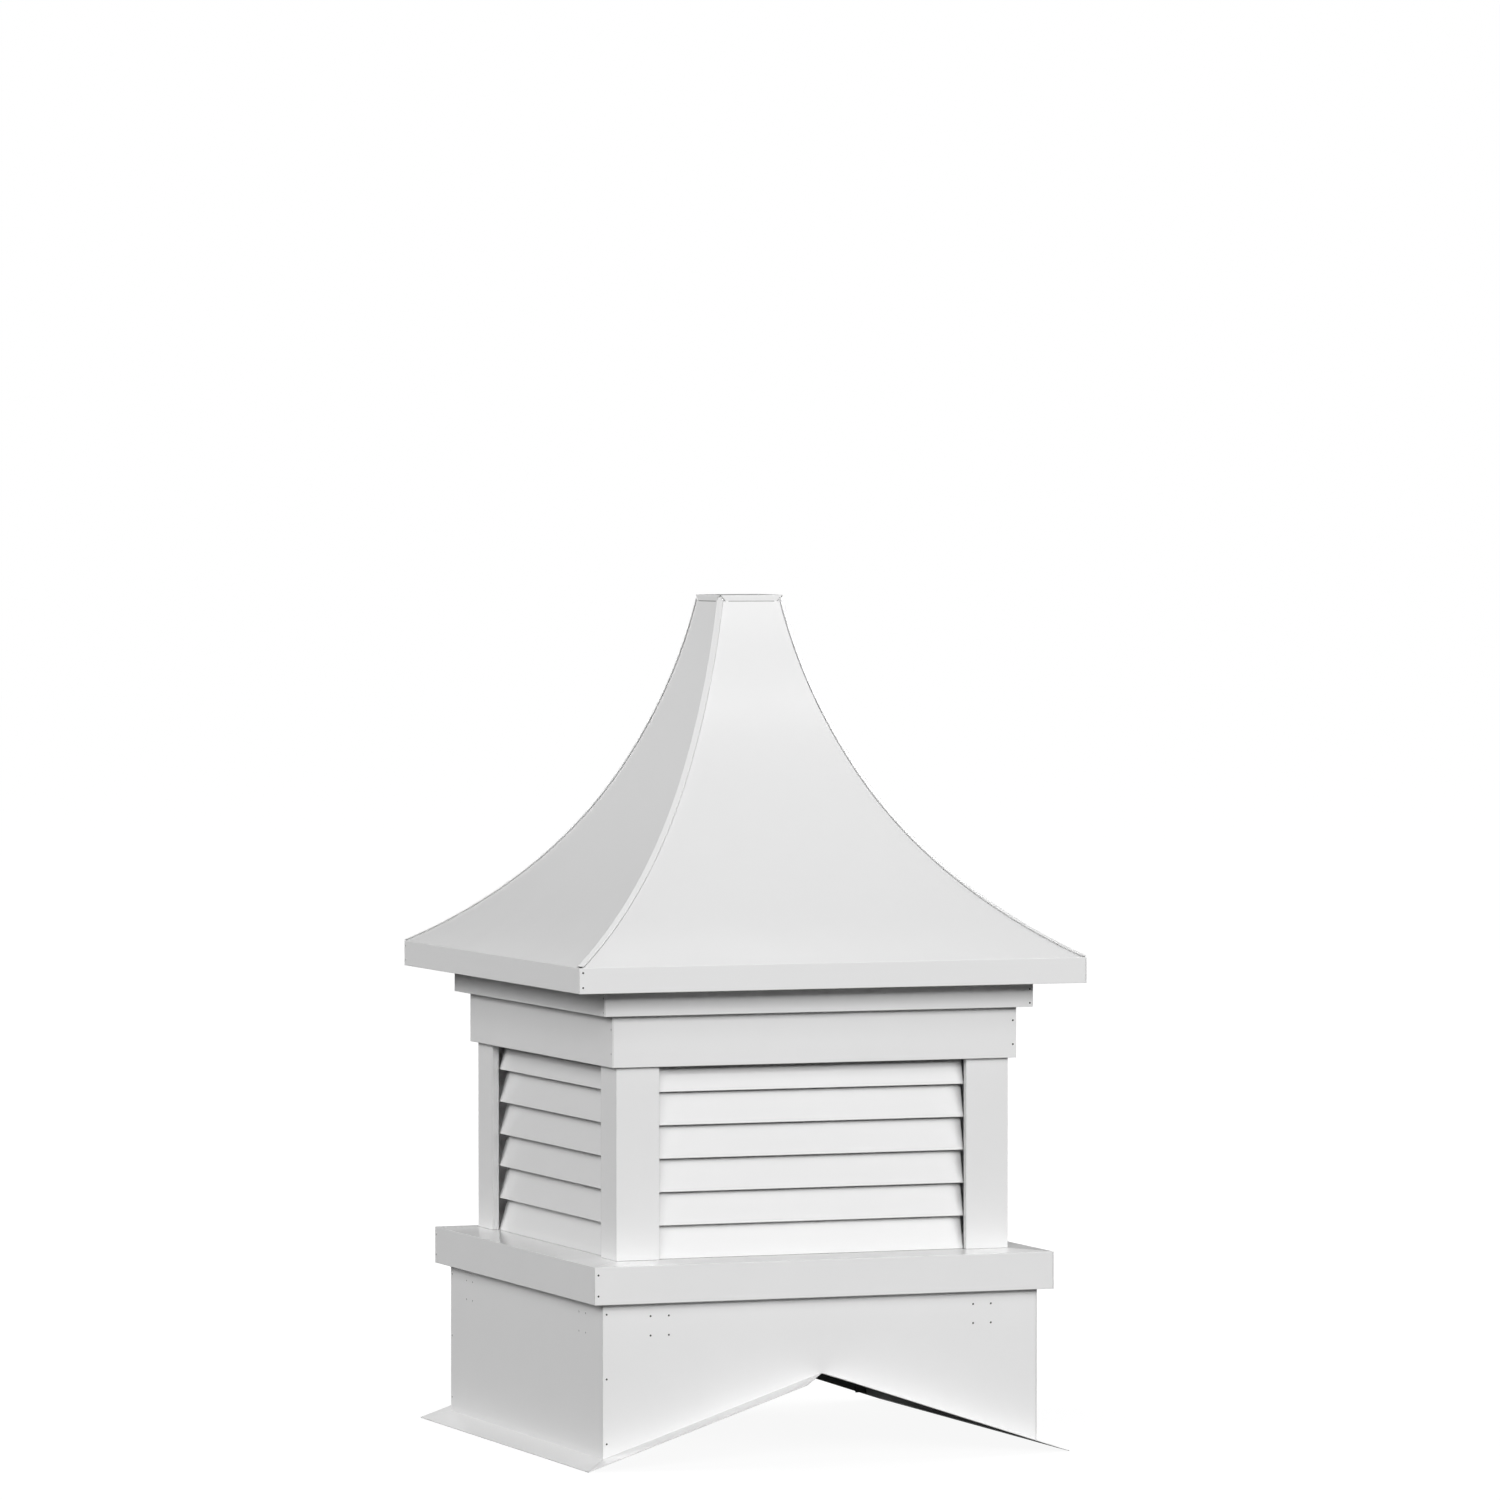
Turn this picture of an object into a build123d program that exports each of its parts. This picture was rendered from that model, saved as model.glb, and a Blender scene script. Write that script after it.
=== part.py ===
from build123d import *
from math import asin, atan, cos, degrees, radians, sin, sqrt, tan
import os

# Louvred roof vent in white powder-coated aluminium sheet, of the kind that straddles the
# ridge of a roof. A square base with a notch for the ridge carries a water-table trim,
# four corner posts with louvres between them, a frieze, a crown band and a hipped roof
# whose panels sweep up in a hollow curve to a small flared collar.
#
# Millimetres. X runs along the front, the front faces -Y, Z is up. The origin is under the
# middle of the part, level with the lowest edge of the roof flange.
#
# A section is drawn with its first axis pointing outwards from the middle and its second
# axis up, so one section serves all four sides.

# Sheet and clearances
sheet = 1.6                 # thickness of every folded sheet but the hip caps
seat = 0.3                  # clearance between pieces that rest on each other
mitre_gap = 0.6             # open width of a mitred corner
tab_length = 25.4           # lap tab turned in behind the next side
heavy_sheet = 3.2           # brackets and finial plate

# Base that straddles the ridge
base_width = 914.4
roof_pitch = 1 / 3          # rise over run of the roof below, four in twelve
flange_width = 50.8         # roof flange, measured down the slope
apex_cover = 152.4          # height of wall between the ridge and the trim

# Water-table trim
trim_overhang = 25.4        # face of the trim in front of the base wall
trim_face = 73.7
ledge_fall = 3.8            # fall of the sloped ledge from the posts to its outer edge
sill_upstand = 25.0

# Posts and louvres
body_setback = 44.45        # face of the posts behind the base wall
post_width = 88.9
post_return = 13.2
opening_height = 378.5      # from the sill to the frieze
louvre_count = 6
louvre_hidden = 13.9        # part of the top blade's pitch that the frieze hides
louvre_gap = 0.8            # lower edge of a blade behind the returns of the posts
louvre_lean = 15.9          # degrees from upright
louvre_overlap = 5.5        # height that a blade runs up behind the next one
louvre_leg = 15.0           # upright leg riveted to the rails
louvre_hem = 6.0
rail_width = 25.4
rail_depth = 23.8
rail_inset = 34.0           # from the end of the blades to the middle of a rail

# Frieze and crown band
frieze_step = 12.7          # face of the frieze in front of the posts
frieze_face = 101.6         # visible face, below the crown band
crown_step = 25.4           # face of the crown band in front of the frieze
crown_face = 50.3

# Roof
eaves_step = 80.75          # fascia in front of the crown band
fascia_height = 50.3
roof_rise = 700.0           # from the eaves edge to the bend of the collar
neck_width = 137.2          # across the panels at that bend
eaves_angle = 29.7          # slopes of the hollow curve, in degrees
blend_angle = 62.7
neck_angle = 79.1
collar_rise = 12.7
collar_notch = 3.6          # end of a collar flap in from the corner, past the cap's tip
collar_hem = 3.0            # rim folded over inwards

# Hip caps
cap_width = 12.7
cap_sheet = 1.2             # thinner sheet, which follows the hollow curve of the hips
cap_overhang = 1.6          # top of a cap past its legs, folded double
cap_stand = 3.2             # shift of the cap outwards and up, off the panels
cap_leg = 11.0              # top of a cap to the ends of its legs
cap_rise = 9.0              # tip of a cap above the bend of the collar
cap_gap = 0.5               # from the legs of a cap to the panels beside them
tip_gap = 1.6               # from the tip of a cap to the collar flaps beside it
hip_flange_extra = 3.0      # depth of a panel's hip flange past the legs of the cap

# Brackets in the base and plate in the collar
bracket_width = 63.5
bracket_past = 15.75        # middle of a bracket past the inner edge of the posts
bracket_drop = 155.0        # below the outer edge of the ledge
bracket_reach = 40.0        # inwards past the face of the posts
plate_lip = 18.0
finial_hole = 22.0

# Distances out from the middle
base_half = base_width / 2
trim_half = base_half + trim_overhang
body_half = base_half - body_setback
frieze_half = body_half + frieze_step
crown_half = frieze_half + crown_step
eaves_half = crown_half + eaves_step
neck_half = neck_width / 2
leg_half = cap_width / 2 - cap_overhang
flap_half = neck_half - (cap_width / 2 + tip_gap) * sqrt(2) - collar_notch

# Louvres, worked out from the opening that they fill
louvre_pitch = (opening_height + louvre_hidden) / louvre_count
louvre_rise = louvre_pitch - sheet + louvre_overlap
louvre_edge = body_half - post_return - louvre_gap
louvre_top = louvre_edge - louvre_rise * tan(radians(louvre_lean))
rail_front = louvre_top - sheet - seat
rail_back = rail_front - rail_depth
sill_back = rail_back - seat

# Levels, from the lowest edge of the flange up
slope = atan(roof_pitch)
flange_reach = flange_width * cos(slope)
ridge_level = (base_half + flange_reach) * roof_pitch
trim_bottom = ridge_level + apex_cover
trim_top = trim_bottom + trim_face
sill_level = trim_top + ledge_fall
frieze_bottom = sill_level + opening_height
crown_bottom = frieze_bottom + frieze_face
eaves_bottom = crown_bottom + crown_face
eaves_top = eaves_bottom + fascia_height
neck_level = eaves_top + roof_rise
rim_level = neck_level + collar_rise
ledge_slope = ledge_fall / (trim_half - body_half)

SIDES = {"front": 0, "right": 90, "back": 180, "left": 270}
CORNERS = {"front_left": 0, "front_right": 90, "back_right": 180, "back_left": 270}
SECTION_PLANE = Plane(origin=(0, 0, 0), x_dir=(0, -1, 0), z_dir=(-1, 0, 0))
HIP_PLANE = Plane(origin=(0, 0, 0), x_dir=(-1, -1, 0), z_dir=(-1, 1, 0))
ACROSS_HIP = Plane(origin=(0, 0, 0), x_dir=(1, -1, 0), z_dir=(-1, -1, 0))


def folded(points, thickness=sheet):
    """Section of a folded sheet whose outer line walks through the points.

    The metal lies to the right of the walk, with mitred corners.
    """
    line = [Vector(*point) for point in points]
    runs = [(end - start).normalized() for start, end in zip(line, line[1:])]
    inner = []
    for i, corner in enumerate(line):
        before = runs[max(i - 1, 0)]
        after = runs[min(i, len(runs) - 1)]
        normal_before = Vector(before.Y, -before.X)
        normal_after = Vector(after.Y, -after.X)
        reach = thickness / (1 + normal_before.dot(normal_after))
        inner.append(corner + (normal_before + normal_after) * reach)
    return make_face(Polyline(*line, *reversed(inner), close=True))


def strip(section, left, right):
    """Run a section along the front, from x = left to x = right."""
    return extrude(Pos(right, 0, 0) * (SECTION_PLANE * section), right - left)


def block(x_low, x_high, y_low, y_high, z_low, z_high):
    """Box between two opposite corners."""
    size = Box(x_high - x_low, y_high - y_low, z_high - z_low)
    return Pos((x_low + x_high) / 2, (y_low + y_high) / 2, (z_low + z_high) / 2) * size


def prism(outline, low, high):
    """Plan outline made solid between two levels."""
    return extrude(Pos(0, 0, low) * make_face(Polyline(*outline, close=True)), high - low)


def wedge(reach, gap, low, high):
    """Quarter of the plan that belongs to the front, less half the gap at each mitre."""
    back_off = gap / sqrt(2)
    return prism([(0, -back_off), (reach - back_off, -reach), (back_off - reach, -reach)], low, high)


def ledge_level(outwards):
    """Top of the sloped ledge at a distance from the middle."""
    return trim_top + ledge_slope * (trim_half - outwards)


def under_ledge(outwards):
    """Highest level at which a piece clears the underside of the ledge."""
    return ledge_level(outwards) - sheet * sqrt(1 + ledge_slope ** 2) - seat


def roof_level(outwards):
    """Level of the roof below, where the flange lies on it."""
    return ridge_level - outwards * roof_pitch


def band(section_points, half, low, high):
    """Band of folded sheet along the front, whose face stands between two levels.

    The face covers the corner at the left. At the right it stops short, and a tab turns in
    behind the face of the next side. What lies flat is mitred. A band whose laps run the
    other way is the mirror image.
    """
    run = strip(folded(section_points), -half, half)
    right_end = half - sheet - seat
    top = max(level for outwards, level in section_points)
    mitred = run & wedge(half, mitre_gap, low, top)
    mitred &= block(-half, right_end, -half, 0, low, top)
    face = run & block(-half, right_end, -half, -half + sheet, low, high)
    tab = block(right_end - sheet, right_end, -half, -half + tab_length,
                low + sheet + seat, high - sheet - seat)
    return mitred + face + tab


def base_gable():
    """Front wall: notched over the ridge, with a flange down each slope of the roof."""
    right_end = base_half - sheet - seat
    top = under_ledge(base_half)
    lift = sheet / cos(slope)
    corner_level = roof_level(base_half)
    outline = Polyline(
        (-base_half, corner_level), (0, ridge_level), (base_half, corner_level),
        (base_half, top), (-base_half, top), close=True)
    face = extrude(Plane.XZ.offset(base_half - sheet) * make_face(outline), sheet)
    face &= block(-base_half, right_end, -base_half, 0, 0, top)
    tab = block(right_end - sheet, right_end, -base_half, -base_half + tab_length,
                corner_level + 2 * sheet, top)

    reach = base_half + flange_reach
    slab_line = Polyline(
        (0, ridge_level), (-reach, 0), (-reach, lift), (0, ridge_level + lift),
        (reach, lift), (reach, 0), close=True)
    slab = extrude(Plane.XZ.offset(base_half) * make_face(slab_line), flange_width)
    outer = base_half + flange_width
    wall = face + tab
    for side in (-1, 1):
        flange_plan = [
            (side * mitre_gap, -base_half),
            (side * (mitre_gap + flange_width), -outer),
            (side * (reach - mitre_gap), -outer),
            (side * (base_half - mitre_gap), -base_half)]
        wall += slab & prism(flange_plan, 0, ridge_level + lift)
    return wall


def base_side():
    """Side wall, shown as if on the front: plain, with a flange that runs on down the roof."""
    top = under_ledge(base_half)
    section = folded([
        (base_half, top),
        (base_half, roof_level(base_half) + sheet / cos(slope)),
        (base_half + flange_reach + sheet * sin(slope), sheet * cos(slope))])
    run = strip(section, -base_half - flange_width, base_half + flange_width)
    right_end = base_half - sheet - seat
    flange_top = roof_level(base_half) + 2 * sheet
    wall = run & block(-base_half, right_end, -base_half, 0, 0, top)
    end = sheet * sin(slope)
    outer = base_half + flange_reach + end
    spread = flange_width * (1 + end / flange_reach)
    flange = run & prism([
        (base_half, -base_half), (base_half + spread, -outer),
        (-base_half - spread, -outer), (-base_half, -base_half)], 0, flange_top)
    tab = block(right_end - sheet, right_end, -base_half, -base_half + tab_length,
                flange_top + sheet, top)
    return wall + flange + tab


def trim():
    """Water-table trim: face, bottom return, sloped ledge, flat sill and its upstand."""
    return band([
        (sill_back, sill_level + sill_upstand),
        (sill_back, sill_level),
        (body_half, sill_level),
        (trim_half, trim_top),
        (trim_half, trim_bottom),
        (base_half + seat, trim_bottom)],
        trim_half, trim_bottom, trim_top)


def post():
    """Corner post at the front left: two faces and a narrow return beside each louvre."""
    near = -body_half + post_width
    inner = -body_half + post_return
    section = folded([(near, inner), (near, -body_half), (-body_half, -body_half),
                      (-body_half, near), (inner, near)])
    low = sill_level + seat
    return extrude(Pos(0, 0, low) * section, eaves_bottom - seat - low)


def louvres():
    """Fixed blades between two posts, each tucked up behind the one above."""
    half_length = body_half - post_width - seat
    blades = []
    for i in range(louvre_count):
        low = sill_level + seat + i * louvre_pitch
        high = low + louvre_rise
        section = folded([(louvre_top, high + louvre_leg), (louvre_top, high),
                          (louvre_edge, low), (louvre_edge - louvre_hem, low)])
        blades.append(strip(section, -half_length, half_length))
    return blades


def louvre_rails():
    """Two upright channels that carry the legs of the blades."""
    centre = body_half - post_width - rail_inset
    low = sill_level + seat
    rails = []
    for middle in (-centre, centre):
        left = middle - rail_width / 2
        right = middle + rail_width / 2
        section = folded([(right, -rail_back), (right, -rail_front),
                          (left, -rail_front), (left, -rail_back)])
        rails.append(extrude(Pos(0, 0, low) * section, eaves_bottom - seat - low))
    return rails


def frieze():
    """Deep band that boxes the heads of the posts, lapped the other way round."""
    top = eaves_bottom - seat
    return mirror(band([
        (body_half + seat, top), (frieze_half, top),
        (frieze_half, frieze_bottom), (body_half + seat, frieze_bottom)],
        frieze_half, frieze_bottom, top), about=Plane.YZ)


def crown():
    """Narrow band between the frieze and the soffit, lapped like the frieze."""
    top = eaves_bottom - seat
    return mirror(band([
        (frieze_half + seat, top), (crown_half, top),
        (crown_half, crown_bottom), (frieze_half + seat, crown_bottom)],
        crown_half, crown_bottom, top), about=Plane.YZ)


class HollowCurve:
    """Two tangent arcs from the eaves edge up to the neck.

    The slopes at the eaves, the blend and the neck are given, and the two radii follow from
    the overhang and the rise that the arcs must cover together.
    """

    def __init__(self):
        low, mid, high = (radians(a) for a in (eaves_angle, blend_angle, neck_angle))
        run_1, run_2 = sin(mid) - sin(low), sin(high) - sin(mid)
        rise_1, rise_2 = cos(low) - cos(mid), cos(mid) - cos(high)
        run, rise = eaves_half - neck_half, roof_rise
        spread = run_1 * rise_2 - run_2 * rise_1
        radius_1 = (run * rise_2 - rise * run_2) / spread
        radius_2 = (rise * run_1 - run * rise_1) / spread
        centre_1 = (eaves_half + radius_1 * sin(low), eaves_top + radius_1 * cos(low))
        centre_2 = (centre_1[0] + (radius_2 - radius_1) * sin(mid),
                    centre_1[1] + (radius_2 - radius_1) * cos(mid))
        self.arcs = [(centre_1, radius_1, low, mid), (centre_2, radius_2, mid, high)]

    def point(self, arc, angle, depth=0.0):
        """Point where an arc has a slope, at a depth below the outer face."""
        centre, radius = self.arcs[arc][:2]
        return (centre[0] - (radius + depth) * sin(angle), centre[1] - (radius + depth) * cos(angle))

    def edges(self, depth=0.0, start=None):
        """The two arcs at a depth below the outer face, from the eaves up."""
        made = []
        for arc, (centre, radius, low, high) in enumerate(self.arcs):
            first = start if start is not None and arc == 0 else low
            middle = (first + high) / 2
            made.append(ThreePointArc(self.point(arc, first, depth), self.point(arc, middle, depth),
                                      self.point(arc, high, depth)))
        return made

    def hip_edges(self, across, up):
        """The curve as the diagonal plane of a hip cuts it, shifted across and up.

        Along the diagonal every distance is longer by the root of two, so each arc of a
        circle becomes an arc of an ellipse.
        """
        made = []
        for centre, radius, low, high in self.arcs:
            made.append(EllipticalCenterArc(
                (centre[0] * sqrt(2) + across, centre[1] + up), radius * sqrt(2), radius,
                start_angle=270 - degrees(high), arc_size=degrees(high - low)))
        return made

    def hip_point(self, arc, angle, across, up):
        """Point of the shifted hip curve where the panels have a slope."""
        outwards, level = self.point(arc, angle)
        return (outwards * sqrt(2) + across, level + up)


curve = HollowCurve()


def hip_band(upper, lower, half_width, offset=0.0, rise=0.0):
    """Solid between two shifted hip curves, this wide about a plane beside the hip.

    A rise carries the band on past the bend of the collar in a straight line.
    """
    low = radians(eaves_angle)
    high = radians(neck_angle)
    outline = curve.hip_edges(*upper) + curve.hip_edges(*lower)
    outline.append(Line(curve.hip_point(0, low, *upper), curve.hip_point(0, low, *lower)))
    ends = [curve.hip_point(1, high, *shift) for shift in (upper, lower)]
    if rise:
        tips = [(x - rise * sqrt(2) / tan(high), z + rise) for x, z in ends]
        outline.append(Polyline(ends[0], tips[0], tips[1], ends[1]))
    else:
        outline.append(Line(*ends))
    return extrude(HIP_PLANE.offset(offset - half_width) * make_face(outline), 2 * half_width)


def panel_section():
    """Section of a roof panel: collar flap, hollow curve, fascia and soffit."""
    low = radians(eaves_angle)
    high = radians(neck_angle)
    centre, radius = curve.arcs[0][:2]
    inner_start = asin((centre[0] - eaves_half + sheet) / (radius + sheet))
    soffit_end = (rail_front + rail_back) / 2
    outline = curve.edges() + curve.edges(sheet, inner_start)

    fold = rim_level - sheet
    outline.append(Line((neck_half, neck_level), (neck_half, fold)))
    outline.append(ThreePointArc(
        (neck_half, fold), (neck_half - sheet, rim_level), (neck_half - 2 * sheet, fold)))
    outline.append(Polyline(
        (neck_half - 2 * sheet, fold), (neck_half - 2 * sheet, rim_level - collar_hem),
        (neck_half - sheet, rim_level - collar_hem), (neck_half - sheet, neck_level),
        curve.point(1, high, sheet)))

    outline.append(Polyline(
        curve.point(0, low), (eaves_half, eaves_bottom), (soffit_end, eaves_bottom),
        (soffit_end, eaves_bottom + sheet), (eaves_half - sheet, eaves_bottom + sheet),
        curve.point(0, inner_start, sheet)))
    return make_face(outline)


def roof_panel():
    """Roof panel of the front, cut back along its hips to leave room for the caps."""
    run = strip(panel_section(), -eaves_half, eaves_half)
    soffit_top = eaves_bottom + 2 * sheet
    near = leg_half + cap_gap
    hips = wedge(eaves_half, 2 * near, soffit_top, neck_level)
    soffit = wedge(eaves_half, mitre_gap, eaves_bottom, soffit_top)
    collar = extrude(Plane.XZ * make_face(Polyline(
        (-flap_half, neck_level), (flap_half, neck_level),
        (flap_half + collar_rise, rim_level), (-flap_half - collar_rise, rim_level),
        close=True)), eaves_half)
    collar &= wedge(eaves_half, mitre_gap, neck_level, rim_level)
    right_end = eaves_half - sheet - seat
    reach = block(-eaves_half, right_end, -eaves_half, 0, eaves_bottom, neck_level)
    face = block(-eaves_half, right_end, -eaves_half, -eaves_half + sheet,
                 eaves_bottom, eaves_top)
    tab = block(right_end - sheet, right_end, -eaves_half, -eaves_half + tab_length,
                eaves_bottom + sheet + seat, eaves_top - cap_leg - 3 * sheet)
    panel = (run & hips & reach) + (run & soffit & reach) + (run & collar) + (run & face) + tab

    top = -near - sheet
    hip_flange = cap_leg + hip_flange_extra
    flange = hip_band((top, -sheet / 2), (top - hip_flange, -sheet / 2 - hip_flange),
                      sheet / 2, -near - sheet / 2)
    inside = eaves_half - 2 * sheet - seat
    flange &= block(-inside, 0, -inside, 0, soffit_top, neck_level - sheet)
    return panel + flange + mirror(flange, about=Plane.YZ)


def hip_cap():
    """Cap of the front-left hip: two legs in the slot between the panels, and a wider top.

    The sheet is folded double where the top stands out over the panels. The top is cut to
    a blunt tip that stands between the ends of two collar flaps. The foot reaches past the
    corner of the fascia, and what lies lower stays behind it.
    """
    half = cap_width / 2
    across = cap_stand - half
    web = cap_sheet / sqrt(2)
    top = (across, cap_stand)
    cover = hip_band(top, (across - 2 * web, cap_stand - 2 * web), half, rise=cap_rise)
    legs = hip_band(top, (across - cap_leg, cap_stand - cap_leg), leg_half, rise=cap_rise)
    inner = hip_band((across - web, cap_stand - web),
                     (across - 2 * cap_leg, cap_stand - 2 * cap_leg), leg_half - cap_sheet,
                     rise=cap_rise + collar_rise)
    behind = eaves_half - sheet - seat
    above = eaves_half + cap_width
    room = block(-behind, 0, -behind, 0, eaves_bottom, rim_level)
    room += block(-above, 0, -above, 0, eaves_top + seat, rim_level)
    channel = (cover + legs - inner) & room

    flap_inside = neck_half - sheet - flap_half
    shoulder = neck_level + flap_inside - (half + tip_gap) * sqrt(2)
    tip_level = neck_level + cap_rise
    tip_half = half - (tip_level - shoulder) / sqrt(2)
    blunt_tip = make_face(Polyline(
        (-half, eaves_bottom), (half, eaves_bottom), (half, shoulder), (tip_half, tip_level),
        (-tip_half, tip_level), (-half, shoulder), close=True))
    return channel & extrude(ACROSS_HIP * blunt_tip, 2 * eaves_half)


def bracket_pair():
    """Two brackets at the front-left corner that tie the sill to the base walls."""
    wall_face = base_half - sheet - seat
    section = folded([
        (body_half - bracket_reach, under_ledge(body_half)),
        (body_half, under_ledge(body_half)),
        (wall_face, under_ledge(wall_face)),
        (wall_face, trim_top - bracket_drop)], heavy_sheet)
    near = body_half - post_width + bracket_past - bracket_width / 2
    on_front = strip(section, -near - bracket_width, -near)
    on_left = Rot(0, 0, 270) * strip(section, near, near + bracket_width)
    return [on_front, on_left]


def finial_plate():
    """Plate that closes the collar, with turned-down lips and a hole for a finial rod."""
    lean = radians(neck_angle)
    half = neck_half - sheet / sin(lean) - seat
    short = half - (cap_width / 2 + cap_leg + hip_flange_extra + 2 * sheet) * sqrt(2)
    outline = [(short, -half), (half, -short), (half, short), (short, half),
               (-short, half), (-half, short), (-half, -short), (-short, -half)]
    plate = prism(outline, neck_level - heavy_sheet, neck_level)
    lip = strip(folded([
        (short, neck_level), (half, neck_level),
        (half + plate_lip * cos(lean), neck_level - plate_lip * sin(lean))],
        heavy_sheet), -short, short)
    for turn in SIDES.values():
        plate += Rot(0, 0, turn) * lip
    return plate - Pos(0, 0, neck_level) * Cylinder(finial_hole / 2, 2 * plate_lip)


def write(name, solids, turn):
    """Write one named piece, or one set of like pieces, turned to its side of the part."""
    placed = [Rot(0, 0, turn) * solid for solid in solids]
    shape = Compound(children=placed) if len(placed) > 1 else placed[0]
    shape.label = name
    export_step(shape, f"parts/{name}.step")


os.makedirs("parts", exist_ok=True)

gable, side_wall = base_gable(), base_side()
for side, turn in SIDES.items():
    write(f"base_{side}", [gable if side in ("front", "back") else side_wall], turn)

ON_EACH_SIDE = {
    "trim": [trim()], "louvres": louvres(), "louvre_rails": louvre_rails(),
    "frieze": [frieze()], "crown": [crown()], "roof_panel": [roof_panel()]}
for name, solids in ON_EACH_SIDE.items():
    for side, turn in SIDES.items():
        write(f"{name}_{side}", solids, turn)

ON_EACH_CORNER = {"post": [post()], "brackets": bracket_pair(), "hip_cap": [hip_cap()]}
for name, solids in ON_EACH_CORNER.items():
    for corner, turn in CORNERS.items():
        write(f"{name}_{corner}", solids, turn)

write("finial_plate", [finial_plate()], 0)
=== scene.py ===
# %% [markdown]
# # A louvred roof vent in white powder-coated sheet
#
# The object is a small louvred tower that straddles the ridge of a roof and lets the air
# of the loft out. It is folded from white aluminium sheet. The CAD model already holds
# every fold, so Blender's work is the finish, the fasteners, the light and the view.

# %% Load the frame
import math

import bpy
import numpy as np
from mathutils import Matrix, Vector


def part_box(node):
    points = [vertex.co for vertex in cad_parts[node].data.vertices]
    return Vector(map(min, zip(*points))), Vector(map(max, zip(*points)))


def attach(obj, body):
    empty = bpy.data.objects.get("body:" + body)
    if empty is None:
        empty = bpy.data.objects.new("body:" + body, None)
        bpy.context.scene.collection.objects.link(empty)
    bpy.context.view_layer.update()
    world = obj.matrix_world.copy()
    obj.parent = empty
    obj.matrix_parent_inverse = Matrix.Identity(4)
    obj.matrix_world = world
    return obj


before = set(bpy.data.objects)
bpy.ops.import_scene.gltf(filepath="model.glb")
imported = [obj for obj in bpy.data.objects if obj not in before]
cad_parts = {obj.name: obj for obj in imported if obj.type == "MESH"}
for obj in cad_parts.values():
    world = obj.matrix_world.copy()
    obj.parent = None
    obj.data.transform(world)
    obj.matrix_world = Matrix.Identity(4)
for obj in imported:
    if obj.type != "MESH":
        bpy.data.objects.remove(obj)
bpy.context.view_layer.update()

print("nodes:", len(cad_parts))

# %% [markdown]
# ## Three helpers for materials
#
# A paint chart gives colours as they look on a screen, in sRGB, and Cycles adds up light,
# which is linear. One function changes the first into the second. A second function adds
# a node, sets it and links it, so that each material below reads as a short recipe. A
# third one starts an empty material.

# %% Colour and node helpers
MM = 0.001
WHITE = (1.0, 1.0, 1.0, 1.0)


def linear(colour):
    """An sRGB hex colour as linear RGBA.

    Each channel c from 0 to 1 becomes c / 12.92 where it is dark, and otherwise
    ((c + 0.055) / 1.055) to the power of 2.4.
    """
    c = np.array([int(colour[i:i + 2], 16) for i in (1, 3, 5)]) / 255
    light = np.where(c <= 0.04045, c / 12.92, ((c + 0.055) / 1.055) ** 2.4)
    return (*light.tolist(), 1.0)


def add(tree, kind, inputs=(), **settings):
    """Add a node with its settings. Each input is filled with a value or a link."""
    made = tree.nodes.new("ShaderNode" + kind)
    for name, value in settings.items():
        setattr(made, name, value)
    for key, value in dict(inputs).items():
        if isinstance(value, bpy.types.NodeSocket):
            tree.links.new(value, made.inputs[key])
        else:
            made.inputs[key].default_value = value
    return made


def new_material(name):
    """An empty node material, with its tree and its output node."""
    material = bpy.data.materials.new(name)
    material.use_nodes = True
    tree = material.node_tree
    tree.nodes.clear()
    return material, tree, add(tree, "OutputMaterial")


print("a pale card in linear light:", [round(c, 3) for c in linear("#f2f2f1")[:3]])

# %% [markdown]
# ## Powder coat
#
# The sheet is sprayed with dry polyester powder and baked. The powder melts and flows,
# but not quite flat: it keeps a fine waviness with a spacing of about 3 mm, which painters
# call orange peel. It softens every reflection and gives pale surfaces a faint grain. The
# sheet under it is never perfectly flat either, and long shallow swells bend the
# reflections a little.
#
# A painted picture of these effects would need an unwrapped mesh and would blur close up.
# Noise in the object's own coordinates has no seams and stays sharp.
#
# The roughness of the white side varies by only 0.02 either way, so it ends at 0.27. At
# 0.28 the filter that cleans the render of grain draws faint patches with sharp edges,
# which the unfiltered render doesn't have. The likely reason is that this filter takes
# gloss for matt above some roughness between the two.

# %% Tone, sheen and waviness of the coat
# Noise runs from 0 to 1, but is nearly always between these two values
NOISE_LOW, NOISE_HIGH = 0.3, 0.7
FLOW_SPACING, SHEEN_SPREAD = 140 * MM, 0.02
SWELL_HEIGHT = 0.5 * MM
PEEL_SPACING, PEEL_HEIGHT = 3.2 * MM, 0.025 * MM


def coat_flow(tree, place, pale, deep, gloss):
    """Tone and sheen of the coat.

    A noise stands for the thickness of the coat. With it the tone runs from pale to deep,
    and the roughness from gloss less SHEEN_SPREAD to gloss plus SHEEN_SPREAD.
    """
    flow = add(tree, "TexNoise", {"Vector": place, "Scale": 1 / FLOW_SPACING,
                                  "Detail": 3.0, "Roughness": 0.55}).outputs["Fac"]
    tone = add(tree, "Mix", {"Factor": flow, "A": linear(pale), "B": linear(deep)},
               data_type="RGBA").outputs["Result"]
    sheen = add(tree, "MapRange", {
        "Value": flow, "From Min": NOISE_LOW, "From Max": NOISE_HIGH,
        "To Min": gloss - SHEEN_SPREAD, "To Max": gloss + SHEEN_SPREAD}).outputs["Result"]
    return tone, sheen


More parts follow.
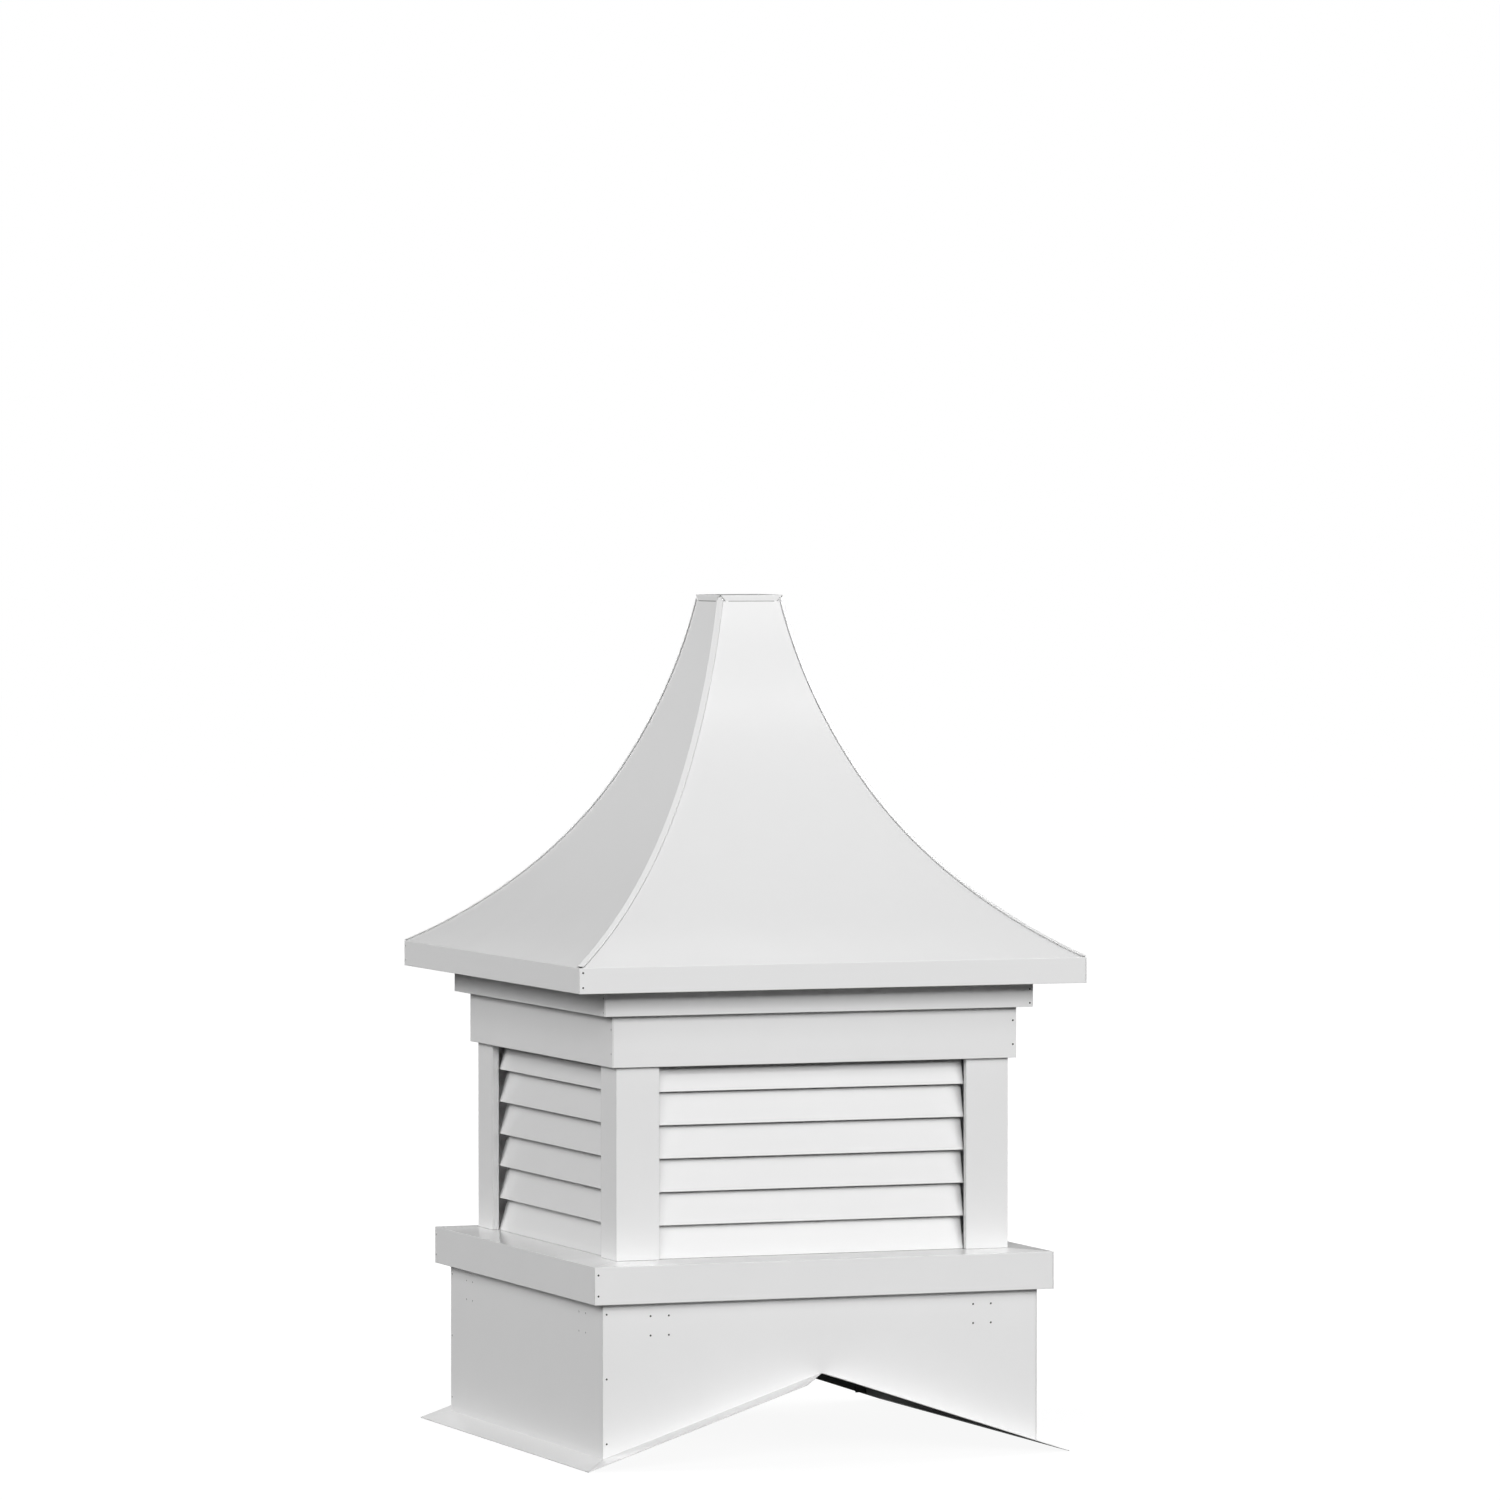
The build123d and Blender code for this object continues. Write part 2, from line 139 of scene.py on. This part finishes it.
def coat_waves(tree, place, normal, swell_spacing):
    """The normal of the coat. Its height is one noise times the height of the swells plus
    a finer one times the height of the orange peel."""
    swell = add(tree, "TexNoise", {"Vector": place, "Scale": 1 / swell_spacing,
                                   "Detail": 1.0}).outputs["Fac"]
    sway = add(tree, "Bump", {"Height": swell, "Strength": 1.0, "Distance": SWELL_HEIGHT,
                              "Normal": normal}).outputs["Normal"]
    peel = add(tree, "TexNoise", {"Vector": place, "Scale": 1 / PEEL_SPACING,
                                  "Detail": 2.0, "Roughness": 0.4}).outputs["Fac"]
    return add(tree, "Bump", {"Height": peel, "Strength": 1.0, "Distance": PEEL_HEIGHT,
                              "Normal": sway}).outputs["Normal"]


print("orange peel every", round(PEEL_SPACING / MM, 1), "mm")

# %% [markdown]
# ## Painted highlights on folds and painted shade in laps
#
# A fold is round, so it catches the light as a thin bright line. The Bevel node rounds
# the folds in the shading alone, so the CAD mesh isn't touched, and where its normal turns
# away from the true one there is a fold. There the tone is painted near white, a painted
# highlight along the fold.
#
# Where two sheets lie close together, in the laps, little light gets in, so they show as
# thin dark lines. That shade is painted into the tone. The Ambient Occlusion node finds
# such places: it says how much of the open air a point sees, which is about a half in an
# open corner and far less in a lap.

# %% Painted fold highlights and painted lap shade
# The fold tone is a painted highlight along the folds
FOLD_RADIUS, FOLD_HIGHLIGHT_TONE, FOLD_SHARE = 2.0 * MM, linear("#fbfbfa"), 0.9
FOLD_STARTS, FOLD_FULL = 0.99, 0.85
# The lap tone is painted shade for the laps, where little light gets in
LAP_REACH, LAP_SHADE_TONE = 6 * MM, linear("#3b3b3a")
LAP_STARTS, LAP_FULL = 0.5, 0.25


def painted_fold_highlights(tree, tone, rounded, face):
    """The tone with a painted highlight along its folds. The highlight tone comes in as the
    dot product of the rounded normal and the true one falls from FOLD_STARTS to FOLD_FULL."""
    alike = add(tree, "VectorMath", {0: rounded, 1: face}, operation="DOT_PRODUCT"
                ).outputs["Value"]
    fold = add(tree, "MapRange", {"Value": alike, "From Min": FOLD_STARTS,
                                  "From Max": FOLD_FULL, "To Min": 0.0,
                                  "To Max": FOLD_SHARE}).outputs["Result"]
    return add(tree, "Mix", {"Factor": fold, "A": tone, "B": FOLD_HIGHLIGHT_TONE},
               data_type="RGBA").outputs["Result"]


def painted_lap_shade(tree, tone, lap_shade):
    """The tone with painted shade in its laps. Up to the given share of the dark lap tone
    comes in as the open air that a point sees falls from LAP_STARTS to LAP_FULL."""
    open_air = add(tree, "AmbientOcclusion", {"Distance": LAP_REACH}, samples=12
                   ).outputs["AO"]
    lap = add(tree, "MapRange", {"Value": open_air, "From Min": LAP_STARTS,
                                 "From Max": LAP_FULL, "To Min": 0.0, "To Max": lap_shade}
              ).outputs["Result"]
    return add(tree, "Mix", {"Factor": lap, "A": tone, "B": LAP_SHADE_TONE},
               data_type="RGBA").outputs["Result"]


print("folds are rounded by", round(FOLD_RADIUS / MM, 1), "mm in the shading")

# %% [markdown]
# ## The back of the sheet
#
# The back of the sheet isn't coated white. It has the thin grey wash coat that keeps the
# metal from staining in the damp air of a loft. The CAD sheet is one closed solid with one
# material, so the material itself has to tell its two sides apart. A face is on the back
# where its normal points towards the upright axis of the vent.

# %% Grey backs
WASH_TONE, WASH_ROUGHNESS = linear("#8f9190"), 0.9
BACK_STARTS, BACK_FULL = -4 * MM, -12 * MM


def grey_back(tree, place, face, tone, sheen):
    """The tone and sheen with the wash coat on the back. It comes in as the dot product of
    the normal and the place, both without their height, falls from BACK_STARTS to
    BACK_FULL."""
    flat = add(tree, "VectorMath", {0: face, 1: (1.0, 1.0, 0.0)}, operation="MULTIPLY"
               ).outputs["Vector"]
    outwards = add(tree, "VectorMath", {0: flat, 1: place}, operation="DOT_PRODUCT"
                   ).outputs["Value"]
    behind = add(tree, "MapRange", {"Value": outwards, "From Min": BACK_STARTS,
                                    "From Max": BACK_FULL}).outputs["Result"]
    tone = add(tree, "Mix", {"Factor": behind, "A": tone, "B": WASH_TONE},
               data_type="RGBA").outputs["Result"]
    sheen = add(tree, "Mix", {"Factor": behind, "A": sheen, "B": WASH_ROUGHNESS}
                ).outputs["Result"]
    return tone, sheen


print("wash coat in linear light:", [round(c, 3) for c in WASH_TONE[:3]])

# %% [markdown]
# ## The crease and the rim of the collar
#
# The collar of the roof has a thin crease along the bend under each flap, and its rim
# leans back a little where it is folded over. The crease's shade is painted into the tone
# as a grey line, and a bump leans the rim. Neither changes the outline, so the material
# draws them.

# %% Painted crease shade and the lean of the rim
# The grey of the crease line is painted shade
CREASE_SHADE_TONE = linear("#a2a2a1")
CREASE_SHADE_WIDTH, CREASE_SHADE_REACH = 2.0 * MM, 49 * MM
RIM_FOLD, RIM_LEAN = 2.4 * MM, 0.4 * MM
BEND_BELOW_RIM = 12.7 * MM
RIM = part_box("roof_panel_front")[1][2]


def collar_crease_and_rim(tree, place, tone, normal):
    """The collar's tone with the painted shade of its crease, and the lean of the rim.

    The painted crease shade is where the height is within half its width of the bend, and
    the smaller of the distances |x| and |y| is under its reach. The rim leans because its
    height map falls by RIM_LEAN over the last RIM_FOLD below the top.
    """
    x, y, z = add(tree, "SeparateXYZ", {"Vector": place}).outputs
    sideways = [add(tree, "Math", {0: way}, operation="ABSOLUTE").outputs["Value"]
                for way in (x, y)]
    nearer = add(tree, "Math", {0: sideways[0], 1: sideways[1]}, operation="MINIMUM"
                 ).outputs["Value"]
    ends = add(tree, "Math", {0: nearer, 1: CREASE_SHADE_REACH}, operation="LESS_THAN"
               ).outputs["Value"]
    at_bend = add(tree, "Math", {0: z, 1: RIM - BEND_BELOW_RIM, 2: CREASE_SHADE_WIDTH / 2},
                  operation="COMPARE").outputs["Value"]
    crease_shade = add(tree, "Math", {0: at_bend, 1: ends}, operation="MULTIPLY").outputs["Value"]
    # Painted shade of the crease
    tone = add(tree, "Mix", {"Factor": crease_shade, "A": tone, "B": CREASE_SHADE_TONE},
               data_type="RGBA").outputs["Result"]
    fall = add(tree, "MapRange", {"Value": z, "From Min": RIM - RIM_FOLD, "From Max": RIM,
                                  "To Min": 1.0, "To Max": 0.0}).outputs["Result"]
    normal = add(tree, "Bump", {"Height": fall, "Strength": 1.0, "Distance": RIM_LEAN,
                                "Normal": normal}).outputs["Normal"]
    return tone, normal


print("the rim is", round(RIM / MM, 1), "mm up")

# %% [markdown]
# ## Four versions of the coat
#
# The sheets differ a little in the photograph, so the coat has four versions, matched to
# it in tone. The plain walls and the roof are semi-gloss, and their backs show
# through the notch and in the collar. The bands, which are the trim, the posts, the frieze
# and the crown, are a little glossier. The blades, and a little the roof, are deeper in
# tone, which is painted shade, for all the sheets share one white coat. The blades have
# faint painted lap shade, and the roof has none.

# %% Mix the powder coats
COAT_IOR = 1.5


def powder_coat(name, pale, deep, gloss, swell_spacing=210 * MM, lap_shade=0.8,
                back_shows=False, collar=False):
    """White polyester powder coat: its flow, then its painted crease shade, fold
    highlights and lap shade, and grey back, then its waves.
    """
    material, tree, output = new_material(name)
    place = add(tree, "TexCoord").outputs["Object"]
    face = add(tree, "NewGeometry").outputs["Normal"]
    rounded = add(tree, "Bevel", {"Radius": FOLD_RADIUS}, samples=6).outputs["Normal"]

    tone, sheen = coat_flow(tree, place, pale, deep, gloss)
    edge = rounded
    if collar:
        tone, edge = collar_crease_and_rim(tree, place, tone, rounded)
    # Painted highlight along the folds
    tone = painted_fold_highlights(tree, tone, rounded, face)
    # Painted shade in the laps, where little light gets in
    if lap_shade:
        tone = painted_lap_shade(tree, tone, lap_shade)
    if back_shows:
        tone, sheen = grey_back(tree, place, face, tone, sheen)

    coat = add(tree, "BsdfPrincipled", {
        "Base Color": tone, "Roughness": sheen, "IOR": COAT_IOR,
        "Normal": coat_waves(tree, place, edge, swell_spacing)})
    tree.links.new(coat.outputs["BSDF"], output.inputs["Surface"])
    return material


# The deeper tones of the blades and the roof are painted shade; the sheets share one coat
wall_coat = powder_coat("powder_coat_wall", "#f1f1f1", "#ececec", gloss=0.25,
                        back_shows=True)
band_coat = powder_coat("powder_coat_band", "#f1f1f1", "#ececec", gloss=0.18)
blade_coat = powder_coat("powder_coat_blade", "#e7e7e7", "#e3e3e3", gloss=0.25,
                         swell_spacing=120 * MM, lap_shade=0.1)
roof_coat = powder_coat("powder_coat_roof", "#efefef", "#ececec", gloss=0.25,
                        swell_spacing=300 * MM, lap_shade=0.0, back_shows=True, collar=True)
for coat in (wall_coat, band_coat, blade_coat, roof_coat):
    print(coat.name, "has", len(coat.node_tree.nodes), "nodes")

# %% [markdown]
# ## Mill-finish aluminium
#
# The rails behind the louvres, the brackets in the base and the plate in the collar hardly
# show from the ground, so they are left as they come from the rolling mill. The rolls
# leave fine straight lines along the sheet, about 0.4 mm apart. They are too fine to show
# from a few metres, so they are drawn 2 mm apart. Storage adds cloudy dull patches.

# %% Make the mill finish
LINE_SPACING, LINE_HEIGHT = 2 * MM, 0.03 * MM
CLOUD_SPACING = 60 * MM
MILL_FOLD_RADIUS = 1.0 * MM
MILL_PALE, MILL_DEEP = linear("#d5d7d8"), linear("#bfc2c4")
MILL_SMOOTH, MILL_DULL = 0.34, 0.5
ALONG_GRAIN = 1 / 40


def mill_finish(name, grain):
    """Rolled aluminium. Noise stretched forty times along the grain gives the lines."""
    material, tree, output = new_material(name)
    place = add(tree, "TexCoord").outputs["Object"]
    long_way = add(tree, "Mapping", {"Vector": place, "Scale": grain}).outputs["Vector"]
    lines = add(tree, "TexNoise", {"Vector": long_way, "Scale": 1 / LINE_SPACING,
                                   "Detail": 3.0}).outputs["Fac"]
    cloud = add(tree, "TexNoise", {"Vector": place, "Scale": 1 / CLOUD_SPACING,
                                   "Detail": 4.0}).outputs["Fac"]
    tone = add(tree, "Mix", {"Factor": cloud, "A": MILL_PALE, "B": MILL_DEEP},
               data_type="RGBA").outputs["Result"]
    dull = add(tree, "MapRange", {
        "Value": lines, "From Min": NOISE_LOW, "From Max": NOISE_HIGH,
        "To Min": MILL_SMOOTH, "To Max": MILL_DULL}).outputs["Result"]
    rounded = add(tree, "Bevel", {"Radius": MILL_FOLD_RADIUS}, samples=4
                  ).outputs["Normal"]
    skin = add(tree, "Bump", {"Height": lines, "Strength": 0.6, "Distance": LINE_HEIGHT,
                              "Normal": rounded}).outputs["Normal"]
    metal = add(tree, "BsdfPrincipled", {"Base Color": tone, "Metallic": 1.0,
                                         "Roughness": dull, "Normal": skin})
    tree.links.new(metal.outputs["BSDF"], output.inputs["Surface"])
    return material


upright_mill = mill_finish("mill_aluminium_upright", (1.0, 1.0, ALONG_GRAIN))
flat_mill = mill_finish("mill_aluminium_flat", (ALONG_GRAIN, 1.0, 1.0))
print("mill finishes:", upright_mill.name, flat_mill.name)

# %% [markdown]
# ## Dress the CAD nodes
#
# A node's family is the first word of its name, so one table gives each family its finish.
# The material goes into the object's own slots.

# %% Give every CAD node its finish
FINISH = {"base": wall_coat, "trim": band_coat, "post": band_coat, "frieze": band_coat,
          "crown": band_coat, "louvres": blade_coat, "roof": roof_coat, "hip": roof_coat,
          "louvre": upright_mill, "brackets": upright_mill, "finial": flat_mill}
for name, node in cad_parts.items():
    for slot in node.material_slots:
        slot.material = FINISH[name.split("_")[0]]
print("families:", sorted({name.split("_")[0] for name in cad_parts}))

# %% [markdown]
# ## Blind rivets
#
# The laps at the corners and the brackets inside the base are closed with blind rivets. A
# blind rivet is set from outside: a steel pin is pulled until it snaps, and what is left
# is a thin collar round an open hole. In the white sheet the collar all but vanishes, and
# the hole shows as a small dark dot.
#
# A cylinder would be too plain close up, and 76 modelled rivets would be slow to place by
# hand. Here one profile is turned round its axis, and all rivets of the front are made in
# one array, then turned to the other three sides.

# %% List where the rivets sit
RIVETS = {
    # part: (outer face from the middle, x places, heights), all in mm on the front
    "base_corner": (457.2, (-449.3,), (299.6, 173.6, 47.3)),
    "base_bracket": (457.2, (-358.4, -320.5, 320.5, 358.4), (293.7, 255.9)),
    "trim": (482.6, (-475.2,), (379.1, 338.2)),
    "frieze": (425.45, (418.3,), (851.0, 803.5)),
    "crown": (450.85, (444.0,), (914.0, 886.3)),
    "fascia": (531.6, (-524.0,), (969.6, 940.7))}


def rivet_centres(out, across, up):
    """Every pair of an x place and a height on the front face, in metres."""
    x, z = np.meshgrid(np.array(across) * MM, np.array(up) * MM)
    return np.stack([x.ravel(), np.full(x.size, -out * MM), z.ravel()], axis=1)


centres = {part: rivet_centres(*where) for part, where in RIVETS.items()}
print("rivets on the front:", sum(len(c) for c in centres.values()))

# %% [markdown]
# A set rivet is a body of revolution, so its whole shape is one short profile: the thin
# collar rises from the sheet, rounds over and drops into the open hole. The four sides of
# the vent are alike, so a rivet on the front has three more round the upright axis.


# %% Turn a profile into rivets
# Radius and height in mm, from the edge of the collar in to the bottom of the hole
RIVET_PROFILE = [(3.2, 0.0), (3.1, 0.25), (2.8, 0.42), (2.3, 0.45), (2.1, 0.36),
                 (2.0, 0.1), (1.1, 0.06)]
RIVET_STEPS = 14


def turned_profile(middles):
    """Every middle gets the profile, turned about the axis that points out of the front.

    A point at radius r and height h goes to the middle plus r cos t across, r sin t up and
    h outwards, for t from 0 to a full turn. Returns points by rivet, ring and step.
    """
    t = np.arange(RIVET_STEPS) * (2 * np.pi / RIVET_STEPS)
    r, h = np.array(RIVET_PROFILE).T * MM
    ring = np.stack([np.outer(r, np.cos(t)), -np.repeat(h[:, None], RIVET_STEPS, 1),
                     np.outer(r, np.sin(t))], axis=-1)
    return middles[:, None, None, :] + ring[None]


def quarter_turns(points):
    """Points on the front, repeated on the right, back and left.

    A quarter turn takes (x, y) to (-y, x), so four of them go once round.
    """
    turned = [points]
    for _ in range(3):
        x, y, z = np.moveaxis(turned[-1], -1, 0)
        turned.append(np.stack([-y, x, z], axis=-1))
    return np.concatenate(turned)


def ring_faces(rivets, rings, steps):
    """Quads between neighbouring rings, and one face that closes the last ring."""
    grid = np.arange(rivets * rings * steps).reshape(rivets, rings, steps)
    after = np.roll(grid, -1, axis=2)
    quads = np.stack([grid[:, :-1], grid[:, 1:], after[:, 1:], after[:, :-1]], axis=-1)
    return quads.reshape(-1, 4), grid[:, -1, ::-1]


print("a rivet is", 2 * RIVET_PROFILE[0][0], "mm wide and",
      max(height for _, height in RIVET_PROFILE), "mm high")

# %% [markdown]
# The open hole of a set rivet shows the snapped steel pin, deep in shadow. It has a dark
# oxide skin with a rough break, so its tone changes over less than a millimetre. Here the
# hole is nearly flush with the sheet, so its dark tone is partly the pin's own and partly
# painted shade of the deep hole.

# %% Make the snapped pin's metal, with the painted shade of the hole
BREAK_SPACING = 0.8 * MM
hole_metal_and_shade, tree, output = new_material("snapped_steel_pin_and_hole_shade")
spot = add(tree, "TexNoise", {"Vector": add(tree, "TexCoord").outputs["Object"],
                              "Scale": 1 / BREAK_SPACING, "Detail": 2.0}).outputs["Fac"]
# The dark tone is partly the pin's oxide and partly painted shade of the hole
pin_and_hole_dark = add(tree, "Mix", {"Factor": spot, "A": linear("#1c1c1c"), "B": linear("#3a3a39")},
           data_type="RGBA").outputs["Result"]
pin = add(tree, "BsdfPrincipled", {"Base Color": pin_and_hole_dark, "Metallic": 0.6, "Roughness": 0.7})
tree.links.new(pin.outputs["BSDF"], output.inputs["Surface"])
print("hole metal:", hole_metal_and_shade.name)

# %% [markdown]
# All rivets of one part of the vent are one mesh. It has two materials: the collar takes
# the coat of the bands, and the rings inside the hole and its bottom take the dark metal
# with its painted shade.

# %% Make the rivets
HOLE_FROM_RING = 5


def rivet_object(name, middles):
    """One mesh of all rivets of a part, on all four sides."""
    points = quarter_turns(turned_profile(middles))
    rivets, rings, steps = points.shape[:3]
    quads, caps = ring_faces(rivets, rings, steps)
    mesh = bpy.data.meshes.new(name)
    mesh.from_pydata(points.reshape(-1, 3).tolist(), [], quads.tolist() + caps.tolist())
    ring_of_quad = np.tile(np.repeat(np.arange(rings - 1), steps), rivets)
    dark = np.concatenate([ring_of_quad >= HOLE_FROM_RING, np.ones(rivets, dtype=bool)])
    for material in (band_coat, hole_metal_and_shade):
        mesh.materials.append(material)
    mesh.polygons.foreach_set("material_index", dark.astype(np.int32))
    mesh.polygons.foreach_set("use_smooth", np.ones(len(mesh.polygons), dtype=bool))
    piece = bpy.data.objects.new(name, mesh)
    bpy.context.collection.objects.link(piece)
    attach(piece, "root")
    return piece


for part, middles in centres.items():
    made = rivet_object("rivets_" + part, middles)
    print(made.name, len(made.data.polygons), "faces")

# %% [markdown]
# ## Floor and room
#
# The vent stands on a pale floor in a white room, as for a catalogue. The room has to look
# white behind a white object and must not wash it out, so Light Path splits the job: the
# camera and mirror-like rays see white, while for all other rays the room is dark and the
# light comes from soft lamps. The floor throws a little of that light back up. It also
# adds a little of its real shading to the white, and that keeps the soft shadow at the
# foot.

# %% Make the floor
FLOOR_REACH, FLOOR_DROP = 60.0, 0.5 * MM
# The white of the floor is a little under 1 near the vent, because its shading adds to it
NEAR, FAR = 1.2, 4.0
WHITE_NEAR, WHITE_FAR = 0.93, 1.0
SHADING_CARD = (0.12, 0.12, 0.12, 1.0)


def plane_mesh(name, width, height):
    """A mesh of one face in the plane z = 0, width along x and height along y."""
    mesh = bpy.data.meshes.new(name)
    w, h = width / 2, height / 2
    mesh.from_pydata([(-w, -h, 0), (w, -h, 0), (w, h, 0), (-w, h, 0)], [], [(0, 1, 2, 3)])
    return mesh


def shown_rays(tree):
    """One for a ray that shows the room: from the camera, a mirror-like face or glass."""
    path = add(tree, "LightPath").outputs
    shown = add(tree, "Math", {0: path["Is Camera Ray"], 1: path["Is Glossy Ray"]},
                operation="MAXIMUM").outputs["Value"]
    return add(tree, "Math", {0: shown, 1: path["Is Transmission Ray"]},
               operation="MAXIMUM").outputs["Value"]


floor_paint, tree, output = new_material("pale_floor_paint")
place = add(tree, "TexCoord").outputs["Object"]
mottle = add(tree, "TexNoise", {"Vector": place, "Scale": 2.0}).outputs["Fac"]
paint = add(tree, "Mix", {"Factor": mottle, "A": linear("#4c4c4c"), "B": linear("#464646")},
            data_type="RGBA").outputs["Result"]
bounce = add(tree, "BsdfDiffuse", {"Color": paint}).outputs["BSDF"]
away = add(tree, "VectorMath", {0: place}, operation="LENGTH").outputs["Value"]
level = add(tree, "MapRange", {"Value": away, "From Min": NEAR, "From Max": FAR,
                               "To Min": WHITE_NEAR, "To Max": WHITE_FAR}
            ).outputs["Result"]
white = add(tree, "Emission", {"Color": WHITE, "Strength": level}).outputs["Emission"]
shading = add(tree, "BsdfDiffuse", {"Color": SHADING_CARD}).outputs["BSDF"]
look = add(tree, "AddShader", {0: white, 1: shading}).outputs["Shader"]
mixed = add(tree, "MixShader", {"Fac": shown_rays(tree), 1: bounce, 2: look})
tree.links.new(mixed.outputs["Shader"], output.inputs["Surface"])

floor = bpy.data.objects.new("floor", plane_mesh("floor", 2 * FLOOR_REACH, 2 * FLOOR_REACH))
floor.location.z = -FLOOR_DROP
floor.data.materials.append(floor_paint)
bpy.context.collection.objects.link(floor)
print("floor laid at", floor.location.z, "m")

# %% [markdown]
# The room itself is the world. It is white for the rays that show it and black for all
# others. So the coat mirrors the room, but no matt face is lit by it, and Cycles needn't
# sample it as a lamp.

# %% Make the room
room = bpy.data.worlds.new("room")
bpy.context.scene.world = room
room.use_nodes = True
tree = room.node_tree
tree.nodes.clear()
walls = add(tree, "Background", {"Color": WHITE, "Strength": shown_rays(tree)})
tree.links.new(walls.outputs["Background"], add(tree, "OutputWorld").inputs["Surface"])
room.cycles.sampling_method = "NONE"
print("room made:", room.name)

# %% [markdown]
# ## Flags
#
# A studio keeps a white object from melting into a white room with flags: black or grey
# cloths on stands. They are out of the picture, but a semi-gloss coat mirrors them a
# little. Each flag here is a plane that only mirror-like rays can see, so it shades
# nothing, and a faint glow stands for the room's light on the cloth. The left walls are
# seen at a slant, so they mirror most, and one more cloth lies on the floor for them.

# %% Stand the flags
MIDDLE = np.array([0.0, 0.0, 0.85])
FLAGS = [
    # name, degrees to the right of the front, degrees up, metres away, width, height, glow
    ("back_right", 159, 0, 7.0, 5.5, 1.8, 0.25),
    ("front_right", 21, -4, 6.0, 6.0, 3.0, 0.01),
    ("back_left", -159, -4, 6.0, 5.0, 3.0, 0.1),
    ("back_left_high", -159, 22, 7.0, 6.0, 3.2, 0.1)]


def studio_place(right, up, away):
    """Place and turn of a thing that faces the vent's middle.

    It stands right degrees to the right of the front and up degrees above level, and its
    direction is (sin a cos e, -cos a cos e, sin e).
    """
    a, e = math.radians(right), math.radians(up)
    way = np.array([math.sin(a) * math.cos(e), -math.cos(a) * math.cos(e), math.sin(e)])
    return MIDDLE + away * way, (math.pi / 2 - e, 0, a)


def hang_flag(name, place, turn, width, height, level):
    """A cloth of emission strength level, seen by glossy rays only."""
    flag = bpy.data.objects.new("flag_" + name, plane_mesh("flag_" + name, width, height))
    flag.location, flag.rotation_euler = place, turn
    flag.visible_camera = flag.visible_diffuse = flag.visible_shadow = False
    flag.visible_transmission = False
    cloth, tree, output = new_material("flag_felt_" + name)
    glow = add(tree, "Emission", {"Color": (level, level, level, 1.0)})
    tree.links.new(glow.outputs["Emission"], output.inputs["Surface"])
    flag.data.materials.append(cloth)
    bpy.context.collection.objects.link(flag)
    print(flag.name, [round(c, 2) for c in flag.location])


for name, right, up, away, width, height, level in FLAGS:
    place, turn = studio_place(right, up, away)
    hang_flag(name, place, turn, width, height, level)
hang_flag("floor_left", (-2.5, 2.6, 0.001), (0, 0, 0), 4.0, 7.0, 0.1)

# %% [markdown]
# ## Lamps
#
# The lamps are large soft boxes, far away and rather low. Their light reaches under the
# eaves and leaves a soft dark band only where the boxes are hidden. One small sun would
# draw hard shadows, and a bright room would draw none. The strong boxes stand at the front
# right, the front left and the back left, and weaker ones keep the other sides pale.
#
# Light that a ledge or a flange mirrors onto the wall above it is left out, because it
# lights the feet of the posts more than in the photograph.

# %% Hang the soft lamps
LAMPS = [
    # name, degrees to the right of the front, degrees up, metres away, width, height, watts
    ("front_right_low", 22, 12, 15.0, 11.0, 1.2, 710),
    ("front_right", 22, 15, 15.0, 11.0, 1.2, 280),
    ("front_right_high", 22, 25, 15.0, 11.0, 1.2, 165),
    ("front_right_top", 22, 38, 15.0, 11.0, 1.2, 185),
    ("front_left", -32, 20, 15.0, 9.0, 2.4, 800),
    ("front_left_high", -32, 33, 15.0, 9.0, 2.4, 130),
    ("back_left", -120, 20, 15.0, 6.0, 5.0, 1190),
    ("back_left_high", -120, 40, 15.0, 6.0, 2.5, 205),
    ("back", 159, 65, 15.0, 8.0, 4.0, 95),
    ("back_right", 125, 20, 15.0, 6.0, 3.0, 550),
    ("right", 100, 30, 15.0, 8.0, 3.0, 400)]
for name, right, up, away, width, height, watts in LAMPS:
    light = bpy.data.lights.new("lamp_" + name, "AREA")
    light.shape = "RECTANGLE"
    light.size, light.size_y, light.energy = width, height, watts
    lamp = bpy.data.objects.new("lamp_" + name, light)
    lamp.location, lamp.rotation_euler = studio_place(right, up, away)
    lamp.visible_camera = False
    bpy.context.collection.objects.link(lamp)
    print(lamp.name, [round(c, 2) for c in lamp.location], watts, "W")
bpy.context.scene.cycles.caustics_reflective = False

# %% [markdown]
# ## The camera
#
# The photograph was taken from far away with a long lens, a little to the left of the front
# and from above the collar. The place, turn and lens were worked out from the edges of
# the object.

# %% Set the camera
LENS, SENSOR = 196.31, 36
CAMERA_PLACE = (-5.8383, -15.3612, 1.8785)
DEGREES_DOWN, DEGREES_RIGHT = 1.7404, 20.8858
view = bpy.data.cameras.new("camera")
view.lens, view.sensor_width = LENS, SENSOR
camera = bpy.data.objects.new("camera", view)
camera.location = CAMERA_PLACE
camera.rotation_euler = (math.radians(90 - DEGREES_DOWN), 0, math.radians(-DEGREES_RIGHT))
bpy.context.collection.objects.link(camera)
bpy.context.scene.camera = camera
bpy.context.scene.view_settings.view_transform = "Standard"
print("camera at", [round(c, 3) for c in camera.location])
